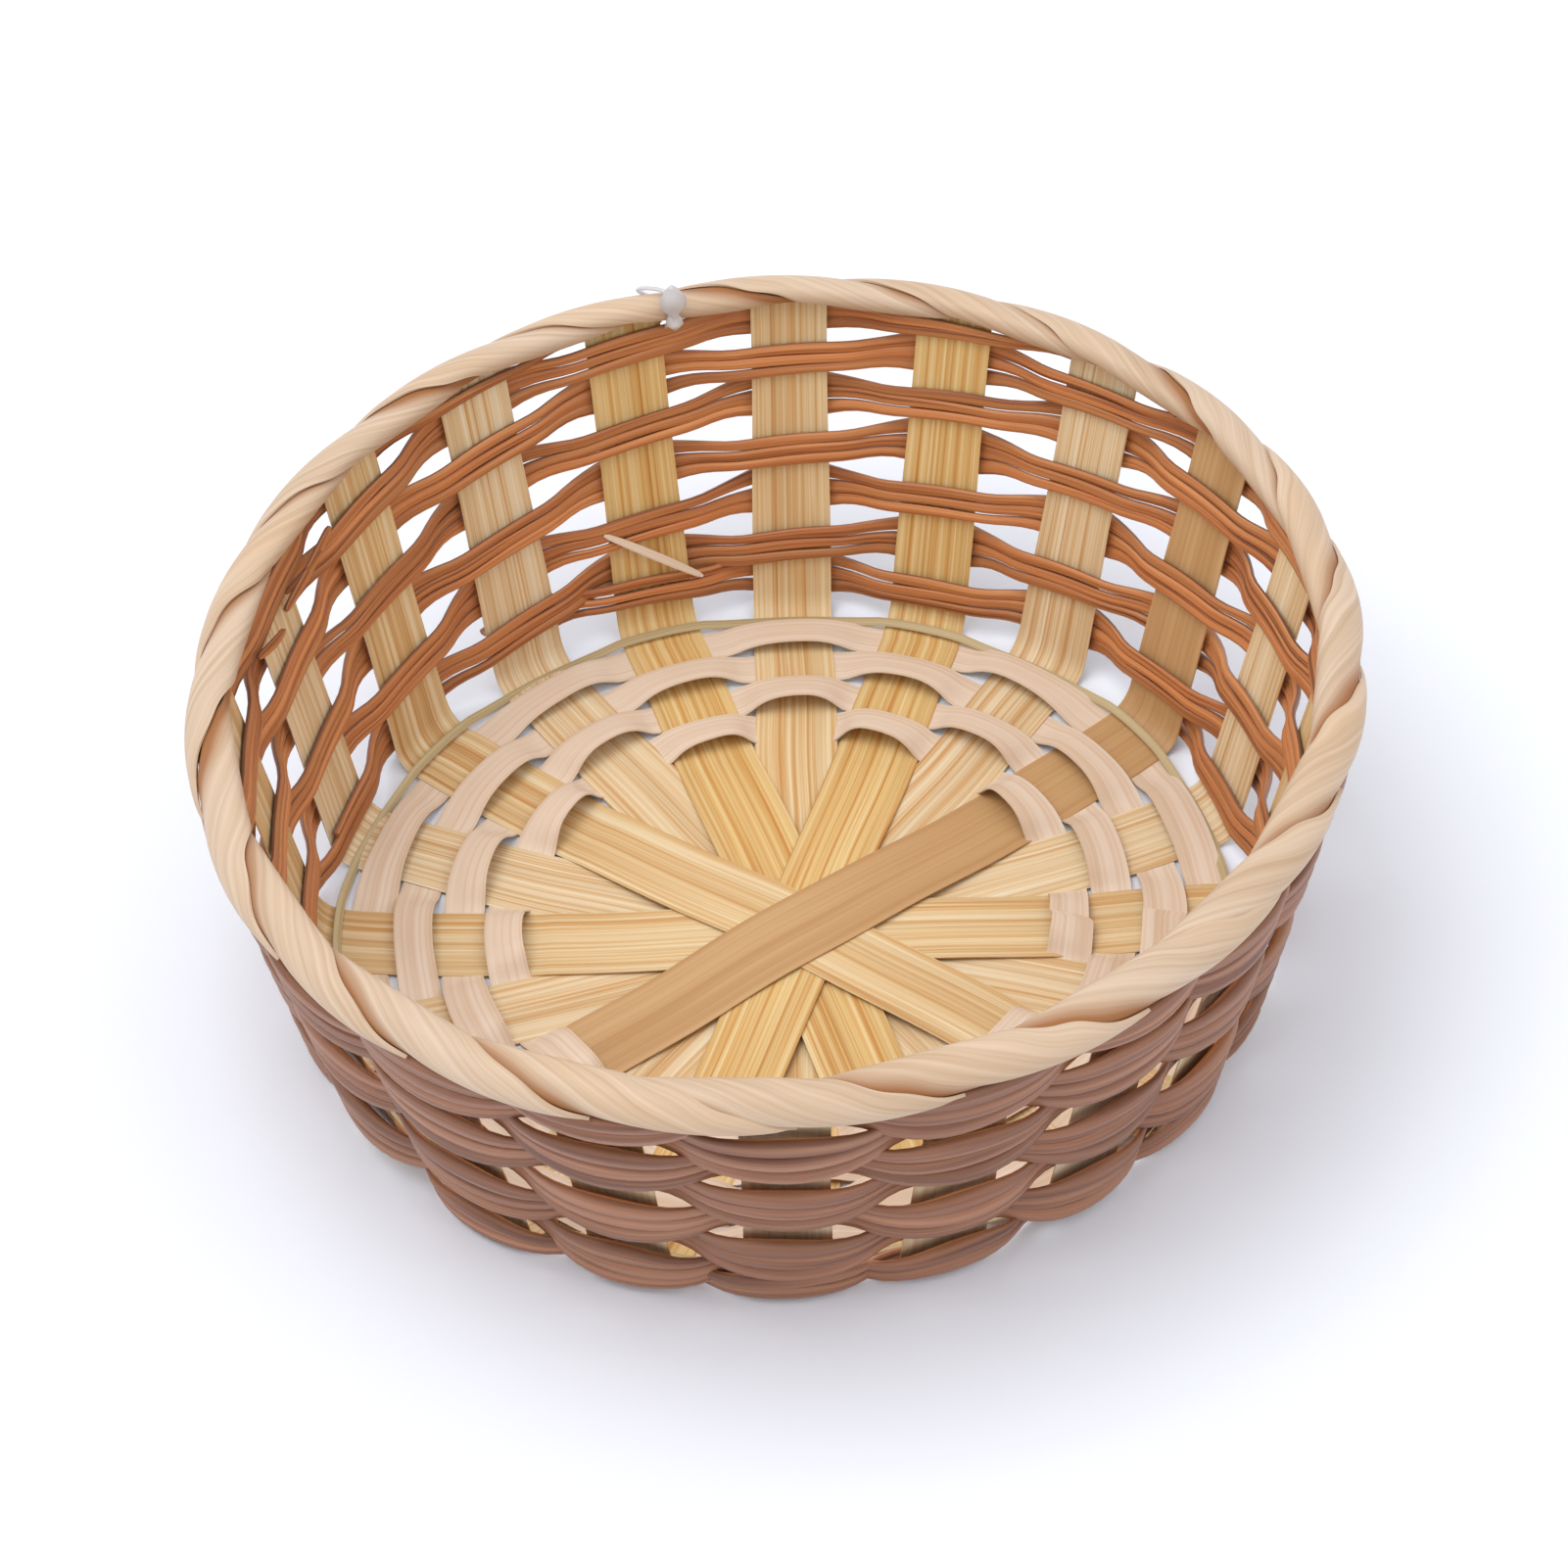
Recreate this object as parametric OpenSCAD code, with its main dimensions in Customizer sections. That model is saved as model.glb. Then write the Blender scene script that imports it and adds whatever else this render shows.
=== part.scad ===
// Round woven basket with a flared wall and a rolled border.
// Two stars of flat bamboo strips cross in the middle of the base and bend up as the wall's stakes.
// Wide bands are woven round the base, bundled strands climb the wall, and the border rolls over a hoop.
// Origin: centre of the base on the surface that it stands on. +Z is up.

/* [Overall] */
// Outside diameter over the rolled border
rim_d = 200; // [170:1:300]
// Height from the table to the top of the border
height = 68; // [50:1:110]
// Diameter of the base at the foot of the wall, measured to the middle of the strips
base_d = 163; // [130:1:170]

/* [Strips] */
// Width of a strip that crosses the base and rises as two wall stakes
strip_w = 13.6; // [10:0.1:17]
// Thickness of a strip
strip_t = 0.55; // [0.3:0.05:0.8]
// Radius of the bend between base and wall, at the middle of the strip
bend_r = 4.5; // [3:0.5:8]
// Height from one strip to the next where they pile up in the middle
pile_step = 0.62; // [0.6:0.02:1.2]

/* [Base bands] */
// Thickness of a band woven round the base
band_t = 0.4; // [0.2:0.05:0.8]
// Gap between one band and the next
band_gap = 0.9; // [0.4:0.1:2]

/* [Wall strands] */
// Height of one strand up the wall
strand_h = 2.6; // [1.5:0.1:4]
// Thickness of one strand
strand_t = 1.2; // [0.8:0.1:2]
// Gap between strands of one bundle
strand_gap = 0.2; // [0.1:0.05:0.6]
// Gap between one bundle and the next
bundle_gap = 0.9; // [0.3:0.1:2]

/* [Border] */
// Diameter of the rolled border's section
border_d = 9.4; // [8:0.2:16]
// Thickness of the strips rolled round the border
turn_t = 1.0; // [0.6:0.1:1.6]
// Degrees that a rolled strip turns about the hoop for each degree that it travels round the rim
turn_rate = 5; // [4:0.5:6]

/* [Tag fastener] */
// Thickness of the clear loop round the border
loop_d = 0.8; // [0.5:0.1:1.2]
// Diameter and length of the bead that closes the loop
bead_d = 4.4; // [3:0.1:6]
bead_length = 6.4; // [4:0.1:8]

/* [Hidden] */
// Crossing strips in the base, and the wall stakes that they give
strips = 10;
stakes = 2 * strips;
stake_angle = 360 / stakes;
strip_angle = 180 / strips;
// Bundles that climb the wall side by side, and the strands in each
bundles = 6;
bundle_strands = 3;
bands = 4;
// Direction of the first strip, and how many stakes past it the first bundle starts
first_angle = -2;
first_start = 4;
// Places in the pile, from the bottom, of the strips of each star, in turn round the base
upper_pile = [1, 4, 2, 0, 3];
lower_pile = [3, 4, 0, 1, 2];
// Clear space kept between a strip and whatever passes it
clearance = 0.08;
// Points along the bend at the foot, and along the fall of a pile
bend_steps = 7;
blend_steps = 6;

// Heights in the base: bands pass under the strips and rest on the table
strip_z = band_t + clearance + strip_t / 2;
band_offset = strip_t / 2 + clearance + band_t / 2;

// The wall line runs from the foot to the middle of the border
border_r = border_d / 2;
hoop_r = border_r - turn_t - 2.5 * clearance;
border_ring_r = rim_d / 2 - border_r;
border_z = height - border_r;
flare = atan2(border_ring_r - base_d / 2, border_z - strip_z);
bend_angle = 90 - flare;
bend_reach = bend_r * tan(bend_angle / 2);
flat_r = base_d / 2 - bend_reach;
stake_top_z = border_z - (hoop_r + clearance + strip_t) * cos(flare);

// Neighbouring strips cover each other inside cross_r, and every second one inside star_r
cross_r = strip_w / 2 / sin(strip_angle / 2);
star_r = strip_w / 2 / sin(strip_angle);
settle_r = cross_r + 4 * strip_t;
rise_r = star_r + 0.8 * (cross_r - star_r);

// The bands share the ring between the crossing and the bend
band_pitch = (flat_r - settle_r) / bands;
band_w = band_pitch - band_gap;

// One narrow strand stands at the foot, and the bundles climb from there to the border
foot_z = strip_z + bend_reach * cos(flare) + strand_h / 2;
bundle_h = bundle_strands * strand_h + (bundle_strands - 1) * strand_gap;
bundle_pitch = bundle_h + bundle_gap;
climb_from = foot_z + strand_h / 2 + strand_gap + bundle_h / 2;
climb_to = border_z - border_r - bundle_gap - bundle_h / 2;
stake_climb = bundles * bundle_pitch / stakes;
stakes_passed = floor((climb_to - climb_from) / stake_climb);
strand_offset = strip_t / 2 + clearance + strand_t / 2;

// A rolled strip covers turn_cover degrees of the border's section; the section is open below
turn_gap_angle = 6;
turn_cover = turn_rate * stake_angle - turn_gap_angle;
turn_low = -35;
turn_high = 215;
turn_rings = 13;
turn_divisions = 3;

// The fastener hangs between two stakes at the back, with its bead inside the border
fastener_angle = 98.5 - first_angle;
bead_around = 32;
loop_rings = 24;
loop_sides = 6;

function two_digits(n) = n < 10 ? str("0", n) : str(n);
function numbered(name, count) = [for (n = [1 : count]) str(name, "_", two_digits(n))];

// ---- Paths and sweeps ----

// Smooth step from 1 at u = a to 0 at u = b
function fall(u, a, b) = let (x = max(0, min(1, (u - a) / (b - a)))) 1 - x * x * (3 - 2 * x);

// Left-hand normal of the path at point i, from its neighbours
function path_normal(path, i) = let (
    before = path[max(0, i - 1)],
    after = path[min(len(path) - 1, i + 1)],
    along = after - before
) [-along[1], along[0]] / norm(along);

// Closed outline of a path given the thickness t
function thick_path(path, t) = let (last = len(path) - 1) concat(
    [for (i = [0 : last]) path[i] + path_normal(path, i) * t / 2],
    [for (i = [last : -1 : 0]) path[i] - path_normal(path, i) * t / 2]
);

// Skin over equal closed sections, each of which runs anticlockwise as seen from the section before it;
// closed joins the last section to the first
module sweep(sections, closed) {
    count = len(sections);
    sides = len(sections[0]);
    points = [for (section = sections) for (p = section) p];
    last = closed ? count - 1 : count - 2;
    skin = [for (i = [0 : last]) for (j = [0 : sides - 1])
        let (
            a = i * sides + j,
            b = i * sides + (j + 1) % sides,
            c = ((i + 1) % count) * sides + (j + 1) % sides,
            d = ((i + 1) % count) * sides + j
        ) each [[a, b, c], [a, c, d]]];
    caps = closed ? [] : [
        [for (j = [sides - 1 : -1 : 0]) j],
        [for (j = [0 : sides - 1]) (count - 1) * sides + j]
    ];
    polyhedron(points = points, faces = concat(skin, caps), convexity = 8);
}

function cylindrical(r, angle, z) = [r * cos(angle), r * sin(angle), z];

// ---- Strips ----

// Odd-numbered strips make the upper star and even-numbered ones the lower star.
// A strip's place in the whole pile, counted from the bottom.
function pile_place(strip) = let (turn = floor((strip - 1) / 2))
    strip % 2 == 1 ? upper_pile[turn] + strips / 2 : lower_pile[turn];

// Height of a strip's middle at distance u from the centre of the base
function base_height(strip, u) = let (upper = strip % 2) strip_z
    + upper * pile_step * fall(u, cross_r, settle_r)
    + (pile_place(strip) - upper) * pile_step * fall(u, star_r, rise_r);

// Half of a strip's centre line: base, bend and wall, as distance from the centre and height
function half_line(strip) = concat(
    [for (i = [0 : blend_steps]) let (u = star_r + (rise_r - star_r) * i / blend_steps)
        [u, base_height(strip, u)]],
    [for (i = [0 : blend_steps]) let (u = cross_r + (settle_r - cross_r) * i / blend_steps)
        [u, base_height(strip, u)]],
    [for (i = [0 : bend_steps]) let (a = bend_angle * i / bend_steps)
        [flat_r + bend_r * sin(a), strip_z + bend_r * (1 - cos(a))]],
    [[wall_r(stake_top_z), stake_top_z]]
);

// Distance of the stakes' middle plane from the axis at height z
function wall_r(z) = base_d / 2 + (z - strip_z) * tan(flare);

function mirrored(path) = [for (i = [len(path) - 1 : -1 : 0]) [-path[i][0], path[i][1]]];

module stake_strip(strip) {
    half = half_line(strip);
    color("burlywood")
        rotate([0, 0, (strip - 1) * strip_angle])
            rotate([90, 0, 0])
                linear_extrude(height = strip_w, center = true)
                    polygon(thick_path(concat(mirrored(half), half), strip_t));
}

// ---- Base bands ----

// Half angle at which something at radius r has passed a strip's edge
function edge_angle(r, room) = asin((strip_w / 2 + room) / r);

// A band is over one strip and under the next, with three sections over each
module base_band(band) {
    middle_r = settle_r + (band - 0.5) * band_pitch;
    inner_r = middle_r - band_w / 2;
    outer_r = middle_r + band_w / 2;
    reach = edge_angle(inner_r, clearance);
    sections = [for (k = [0 : stakes - 1]) for (side = [-1 : 1])
        let (
            over = (k + band) % 2 == 1 ? 1 : -1,
            angle = k * stake_angle + side * reach,
            z = strip_z + over * band_offset
        ) [
            cylindrical(inner_r, angle, z - band_t / 2),
            cylindrical(outer_r, angle, z - band_t / 2),
            cylindrical(outer_r, angle, z + band_t / 2),
            cylindrical(inner_r, angle, z + band_t / 2)
        ]];
    color("wheat") sweep(sections, true);
}

// ---- Wall strands ----

// Section of a strand beside a stake: face is 1 inside the wall and -1 outside, slant is the angle
// from the stake's middle
function strand_section(angle, slant, z, face) = [
    for (corner = [[-1, -1], [1, -1], [1, 1], [-1, 1]])
        let (
            level = z + corner[1] * strand_h / 2,
            r = (wall_r(level) - face * strand_offset - corner[0] * strand_t / 2) / cos(slant)
        ) cylindrical(r, angle, level)
];

// Angle at which a strand at height z leaves a stake's face
function strand_reach(z) = edge_angle(wall_r(z), 2 * clearance + strand_t / 2);

module foot_strand() {
    reach = strand_reach(foot_z);
    sections = [for (k = [0 : stakes - 1]) for (side = [1, -1])
        strand_section(side * reach - k * stake_angle, side * reach, foot_z, k % 2 == 0 ? 1 : -1)];
    color("darkkhaki") sweep(sections, true);
}

// A strand travels clockwise seen from above as it climbs, inside one stake and outside the next.
// The bundles start at equal steps round the foot, which need not be at a stake.
module wall_strand(bundle, strand) {
    start = first_start + (bundle - 1) * stakes / bundles;
    first = ceil(start);
    shift = (strand - (bundle_strands + 1) / 2) * (strand_h + strand_gap);
    reach = strand_reach(climb_from);
    sections = [for (k = [first : first + stakes_passed]) for (side = [1, -1])
        let (
            place = k - side * reach / stake_angle,
            z = climb_from + shift + (place + 1 - start) * stake_climb,
            face = (k + bundle) % 2 == 1 ? 1 : -1
        ) strand_section(-place * stake_angle, side * reach, z, face)];
    color("sienna") sweep(sections, false);
}

// ---- Border ----

module border_hoop() {
    color("tan")
        translate([0, 0, border_z])
            rotate_extrude($fn = 96)
                translate([border_ring_r, 0])
                    circle(r = hoop_r, $fn = 32);
}

// Point of the border at a place round the rim: around is 0 on the side of the axis and 90 on top
function border_point(angle, around, r) = cylindrical(
    border_ring_r - r * cos(around), angle, border_z + r * sin(around));

// Section of a rolled strip that lies from low to high round the hoop
function turn_section(angle, low, high) = concat(
    [for (i = [0 : turn_divisions])
        border_point(angle, low + (high - low) * i / turn_divisions, border_r)],
    [for (i = [turn_divisions : -1 : 0])
        border_point(angle, low + (high - low) * i / turn_divisions, border_r - turn_t)]
);

// A rolled strip comes up outside the hoop, passes over the top and tucks in behind it
module border_turn(n) {
    sliver = 5;
    from = turn_high + turn_cover / 2 - sliver;
    to = turn_low - turn_cover / 2 + sliver;
    sections = [for (i = [0 : turn_rings - 1])
        let (
            middle = from + (to - from) * i / (turn_rings - 1),
            angle = (n - 1) * stake_angle - (from - middle) / turn_rate
        ) turn_section(angle, max(turn_low, middle - turn_cover / 2), min(turn_high, middle + turn_cover / 2))];
    color("moccasin") sweep(sections, false);
}

// ---- Tag fastener ----

// A clear loop round the border, closed by a bead that lies on the border's inner side
module tag_fastener() {
    loop_r = border_r + clearance + loop_d / 2;
    sections = [for (i = [0 : loop_rings - 1])
        let (around = i * 360 / loop_rings)
            [for (j = [0 : loop_sides - 1])
                let (side = -j * 360 / loop_sides, r = loop_r + loop_d / 2 * cos(side))
                    [r * cos(around), loop_d / 2 * sin(side), r * sin(around)]]];
    color("gainsboro")
        rotate([0, 0, fastener_angle])
            translate([border_ring_r, 0, border_z]) {
                sweep(sections, true);
                rotate([0, bead_around - 90, 0])
                    translate([0, 0, border_r + clearance]) bead();
            }
}

// Bead with a flat underside: half-round sections along its length, as shares of length and radius
module bead() {
    stations = [[-0.5, 0.3], [-0.2, 0.85], [0, 1], [0.25, 0.8], [0.5, 0.15]];
    sections = [for (station = stations)
        [for (a = [180 : -45 : 0])
            let (r = station[1] * bead_d / 2) [station[0] * bead_length, r * cos(a), r * sin(a)]]];
    sweep(sections, false);
}

// ---- Nodes ----

module turned() {
    rotate([0, 0, first_angle]) children();
}

for (n = [1 : strips])
    turned() stake_strip(n);
for (n = [1 : bands])
    turned() base_band(n);
turned() foot_strand();
for (b = [1 : bundles]) for (s = [1 : bundle_strands])
    turned() wall_strand(b, s);
turned() border_hoop();
for (n = [1 : stakes])
    turned() border_turn(n);
turned() tag_fastener();
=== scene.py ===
# %% [markdown]
# # A round woven bamboo basket
# This lesson builds a shallow basket the way a weaver does: ten flat strips cross in the base and
# bend up as twenty stakes, bands lock them round the base, brown split strands climb the wall, and
# pale strips roll over a hoop to make the border. Every piece is a surface worked out with numpy,
# because a weave is a rule, and a rule is easier to write than to sculpt.

# %% The frame
import math

import bpy
import numpy as np
from mathutils import Matrix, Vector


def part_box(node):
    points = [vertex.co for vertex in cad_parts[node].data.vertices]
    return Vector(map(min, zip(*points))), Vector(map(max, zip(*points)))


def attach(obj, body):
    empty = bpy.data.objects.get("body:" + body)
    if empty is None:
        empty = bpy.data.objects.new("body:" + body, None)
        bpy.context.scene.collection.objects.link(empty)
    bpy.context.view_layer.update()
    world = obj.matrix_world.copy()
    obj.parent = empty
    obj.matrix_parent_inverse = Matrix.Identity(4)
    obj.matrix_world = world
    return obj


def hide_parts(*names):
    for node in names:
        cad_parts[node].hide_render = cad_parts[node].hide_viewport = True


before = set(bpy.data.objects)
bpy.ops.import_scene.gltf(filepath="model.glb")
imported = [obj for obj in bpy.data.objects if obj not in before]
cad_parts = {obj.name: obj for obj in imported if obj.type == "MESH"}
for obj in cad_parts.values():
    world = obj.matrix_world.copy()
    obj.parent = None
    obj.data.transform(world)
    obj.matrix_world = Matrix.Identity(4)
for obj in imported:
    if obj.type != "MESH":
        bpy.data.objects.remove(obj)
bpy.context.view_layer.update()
print("frame nodes:", len(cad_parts))

# %% [markdown]
# ## Sizes
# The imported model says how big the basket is: its border gives the driving sizes here, and its bands
# give their own below. A handmade basket then departs from them by a millimetre or two.

# %% Sizes from the frame
MM = 0.001

hoop_low, hoop_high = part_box("border_hoop")
turn_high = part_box("border_turn_01")[1]

WALL_SPREAD = 18.5 * MM
HEIGHT = turn_high.z
BORDER_Z = (hoop_low.z + hoop_high.z) / 2
BORDER_R = HEIGHT - BORDER_Z
HOOP_R = (hoop_high.z - hoop_low.z) / 2
RING_R = hoop_high.x - HOOP_R
RIM_R = RING_R + BORDER_R
STRIP_Z = 0.75 * MM
FOOT_R = RIM_R - WALL_SPREAD
STRIPS = 10
STAKES = 2 * STRIPS
print("height", round(HEIGHT, 4), "ring radius", round(RING_R, 4), "foot radius", round(FOOT_R, 4))

# %% [markdown]
# ## Camera and floor
# The camera stands in front of the basket and looks down into it from about 44 degrees, from far
# enough away that the far rim is hardly smaller than the near one. It leans a few degrees, so its
# axes are set directly as the columns of its matrix.

# %% Camera
CAMERA_DISTANCE = 0.8
CAMERA_ELEVATION = math.radians(44.32)
CAMERA_LEAN = math.radians(-4.02)
CAMERA_LENS = 107.75
SENSOR_WIDTH = 36.0
CAMERA_TARGET = np.array([0.011, 0.0, 0.346]) * RIM_R


def camera_axes(elevation, lean):
    """Right, up and backward axes: backward points from the target to the camera, and right and up
    are turned about it by lean."""
    backward = np.array([0.0, -math.cos(elevation), math.sin(elevation)])
    level = np.array([1.0, 0.0, 0.0])
    up = np.cross(backward, level)
    right = math.cos(lean) * level + math.sin(lean) * up
    return right, np.cross(backward, right), backward


camera = bpy.data.objects.new("camera", bpy.data.cameras.new("camera"))
bpy.context.scene.collection.objects.link(camera)
bpy.context.scene.camera = camera
axis_right, axis_up, axis_back = camera_axes(CAMERA_ELEVATION, CAMERA_LEAN)
placing = np.eye(4)
placing[:3, 0], placing[:3, 1], placing[:3, 2] = axis_right, axis_up, axis_back
placing[:3, 3] = CAMERA_TARGET + CAMERA_DISTANCE * axis_back
camera.matrix_world = Matrix(placing.tolist())
camera.data.lens = CAMERA_LENS
camera.data.sensor_width = SENSOR_WIDTH
print("camera at", [round(x, 3) for x in placing[:3, 3]])

# %% [markdown]
# ## A skin over rings of points
# Every strip, band, strand and turn is a closed tube with a flat section. One helper takes the
# points as an array with one row for each section, joins neighbours with four-sided faces, and
# gives each face its place along and across the piece as UV, in metres. The grain follows that map,
# and it counts from one metre across on a strip's second face, so a material can tell the two apart.

# %% Skin
BACK_FACE = 1.0
SHARP_FROM = math.radians(50.0)


def section(points_round, squareness):
    """A flat oval as (across, up) pairs from -1 to 1, anticlockwise from the left edge: across is
    minus the cosine and up is the sine, each raised to the power 2 / squareness."""
    turn = 2 * np.pi * (np.arange(points_round) + 0.5) / points_round
    power = 2.0 / squareness
    across = -np.sign(np.cos(turn)) * np.abs(np.cos(turn)) ** power
    up = -np.sign(np.sin(turn)) * np.abs(np.sin(turn)) ** power
    return across, up


def skin(name, points, along, across, closed=False):
    """A mesh over points[i, j]. Face (i, j) spans rows i and i + 1 and columns j and j + 1. Its UV
    runs along the row by along[i] and over the column from across[0] to across[1], which hold one
    value for each column, or for each row and column."""
    rows, columns = points.shape[:2]
    spans = rows if closed else rows - 1
    i = np.arange(spans)[:, None]
    j = np.arange(columns)[None, :]
    here, after = i * columns, ((i + 1) % rows) * columns
    right = (j + 1) % columns
    quads = np.stack([here + j, after + j, after + right, here + right], -1).reshape(-1, 4)
    u0 = np.broadcast_to(along[:spans, None], (spans, columns))
    u1 = np.broadcast_to(along[1:spans + 1, None], (spans, columns))
    v0, v1 = (np.broadcast_to(v, (spans + 1, columns)) for v in across)
    uv = np.stack([np.stack([u0, v0[:-1]], -1), np.stack([u1, v0[1:]], -1),
                   np.stack([u1, v1[1:]], -1), np.stack([u0, v1[:-1]], -1)], 2).reshape(-1, 2)
    faces = quads.tolist()
    if not closed:
        faces.append(list(range(columns)))
        faces.append([(rows - 1) * columns + k for k in range(columns)][::-1])
        caps = np.concatenate([np.stack([np.full(columns, along[0]), v0[0]], -1),
                               np.stack([np.full(columns, along[spans]), v0[-1]], -1)[::-1]])
        uv = np.concatenate([uv, caps])
    mesh = bpy.data.meshes.new(name)
    mesh.from_pydata(points.reshape(-1, 3).tolist(), [], faces)
    layer = mesh.uv_layers.new(name="grain")
    layer.data.foreach_set("uv", uv.astype(np.float32).ravel())
    mesh.polygons.foreach_set("use_smooth", np.ones(len(faces), bool))
    mesh.update()
    mesh.set_sharp_from_angle(angle=SHARP_FROM)
    piece = bpy.data.objects.new(name, mesh)
    bpy.context.scene.collection.objects.link(piece)
    return piece


def length_along(path, closed=False):
    """Distance from the first point to each point of the path, with one more entry for a loop."""
    ring = np.concatenate([path, path[:1]]) if closed else path
    steps = np.linalg.norm(np.diff(ring, axis=0), axis=1)
    return np.concatenate([[0.0], np.cumsum(steps)])


def unit(vectors):
    """The vectors, each divided by its length."""
    return vectors / np.linalg.norm(vectors, axis=-1, keepdims=True)


def smooth_step(x):
    """0 below 0, 1 above 1, and x squared times (3 - 2x) between."""
    x = np.clip(x, 0.0, 1.0)
    return x * x * (3 - 2 * x)


def soft_floor(x, low, rounding):
    """x where it is well above low, and low where it is well under. The corner is a hyperbola: low
    plus half of the sum of the excess and the root of its square plus the square of rounding."""
    above = x - low
    return low + (above + np.hypot(above, rounding)) / 2


def wander(x, size, period, seed, waves=4):
    """Handmade unevenness: a sum of a few sines with seeded phases. The first is shorter than the
    given period, and each next one is longer and weaker."""
    rng = np.random.default_rng(seed)
    total = np.zeros_like(np.asarray(x, float))
    for wave in range(waves):
        rate = 2 * np.pi / (period * (0.6 + 0.35 * wave) * rng.uniform(0.85, 1.15))
        total = total + np.sin(rate * x + rng.uniform(0, 2 * np.pi)) / (1 + wave)
    return size * total / 1.6


def ribbon(name, path, across, width, thickness, round_points=12, squareness=5.0, cup=0.0,
           closed=False):
    """A flat tube along path. across is the unit vector over its width, and the way ahead crossed
    with it is the face's normal. width and thickness are numbers or one value for each point, and
    cup lifts the edges by cup times the square of the place across."""
    ahead = np.roll(path, -1, 0) - np.roll(path, 1, 0)
    if not closed:
        ahead[0], ahead[-1] = path[1] - path[0], path[-1] - path[-2]
    up = unit(np.cross(ahead, across))
    a, b = section(round_points, squareness)
    width = np.broadcast_to(np.asarray(width, float), (len(path),))[:, None, None]
    thickness = np.broadcast_to(np.asarray(thickness, float), (len(path),))[:, None, None]
    lift = b[None, :, None] * thickness / 2 + cup * (a ** 2)[None, :, None]
    points = path[:, None, :] + across[:, None, :] * a[None, :, None] * width / 2 \
        + up[:, None, :] * lift
    half = float(np.mean(width)) / 2
    b_next, a_next = np.roll(b, -1), np.roll(a, -1)
    back = np.where(b + b_next > 0, 0.0, BACK_FACE)
    return skin(name, points, length_along(path, closed), (a * half + back, a_next * half + back),
                closed)


print("a section has", len(section(12, 5.0)[0]), "points")

# %% [markdown]
# ## The two rings
# The wall is a straight line between two rings: the foot, where the stakes bend up, and the middle
# of the border. A basket pulled by hand is never quite round or level, so the upper ring is a
# little oval, leans and waves by under a millimetre, and sits two millimetres beside the foot.

# %% Rings
FOOT_SHIFT = np.array([-0.010, 0.0]) * RIM_R
RIM_SHIFT = np.array([0.009, 0.0]) * RIM_R
OVAL = (-0.019, 0.010)
RIM_TILT = np.array([0.006, 0.006]) * RIM_R
RIM_WAVE = -0.009 * RIM_R
RIM_DROP = 2.1 * MM


def border_ring(theta):
    """The border's middle: a ring whose radius varies with twice the angle, shifted and tilted."""
    radius = RING_R * (1 + OVAL[0] * np.cos(2 * theta) + OVAL[1] * np.sin(2 * theta))
    z = BORDER_Z - RIM_DROP + RIM_TILT[0] * np.cos(theta) + RIM_TILT[1] * np.sin(theta) \
        + RIM_WAVE * np.sin(2 * theta)
    return np.stack([radius * np.cos(theta) + RIM_SHIFT[0],
                     radius * np.sin(theta) + RIM_SHIFT[1], z], -1)


def foot_ring(theta):
    """The foot's ring, level with the middle of the strips."""
    return np.stack([FOOT_R * np.cos(theta) + FOOT_SHIFT[0],
                     FOOT_R * np.sin(theta) + FOOT_SHIFT[1], np.full_like(theta, STRIP_Z)], -1)


def wall_point(theta, share):
    """The wall's middle surface: share runs from 0 at the foot to 1 at the border's middle."""
    low, high = foot_ring(theta), border_ring(theta)
    return low + (high - low) * np.asarray(share)[..., None]


def wall_inward(theta):
    """Unit normal of the wall, towards the inside: the climb crossed with the way round."""
    climb = unit(border_ring(theta) - foot_ring(theta))
    round_way = np.stack([-np.sin(theta), np.cos(theta), np.zeros_like(theta)], -1)
    return unit(np.cross(climb, round_way))


print("wall flare in degrees:", round(math.degrees(math.atan2(RING_R - FOOT_R, BORDER_Z)), 1))

# %% [markdown]
# ## Ten strips that cross
# Two stars of five strips lie on each other. Each strip runs through the middle, bends up at both
# ends and becomes two stakes. The middle of the star is a few millimetres nearer the front than the
# ring's centre, as the maker left it. Where strips pile up, each lies one thickness higher.

# %% Where the strips run
STRIP_W = 15.0 * MM
STRIP_T = 0.38 * MM
PILE_STEP = 0.40 * MM
BEND_REACH = 4.5 * MM
STAR_MIDDLE = np.array([0.023, -0.050]) * RIM_R
FIRST_ANGLE = math.radians(-2.0)
STRIP_ANGLE = math.pi / STRIPS
PULL_ROUND = math.radians(3.0)
PULL_FRONT = math.radians(1.2)
PILE_REACH = 0.96
PILE_ROUNDING = 0.25
PARTING_FROM = 5.0 * MM
PARTING_LENGTH = 6.0 * MM
UPPER_PILE = [1, 4, 2, 0, 3]
LOWER_PILE = [3, 4, 0, 1, 2]


def strip_way(strip):
    """Unit vector along a strip's straight line, flat in the base; strips are counted from 0."""
    angle = FIRST_ANGLE + strip * STRIP_ANGLE
    return np.array([math.cos(angle), math.sin(angle)])


def left_of(way):
    """The vector a quarter turn to the left of a flat one."""
    return np.array([-way[1], way[0]])


def reach_to(radius, centre, way):
    """Distances, behind and ahead, from the star's middle to a circle along a line: the roots of
    the line's equation put into the circle's."""
    offset = STAR_MIDDLE - centre
    middle = -offset @ way
    half = math.sqrt(middle ** 2 - offset @ offset + radius ** 2)
    return middle - half, middle + half


def pile_place(strip):
    """A strip's place in the pile from the bottom; even strips are the upper star."""
    turn = strip // 2
    return UPPER_PILE[turn] + STRIPS // 2 if strip % 2 == 0 else LOWER_PILE[turn]


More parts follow.
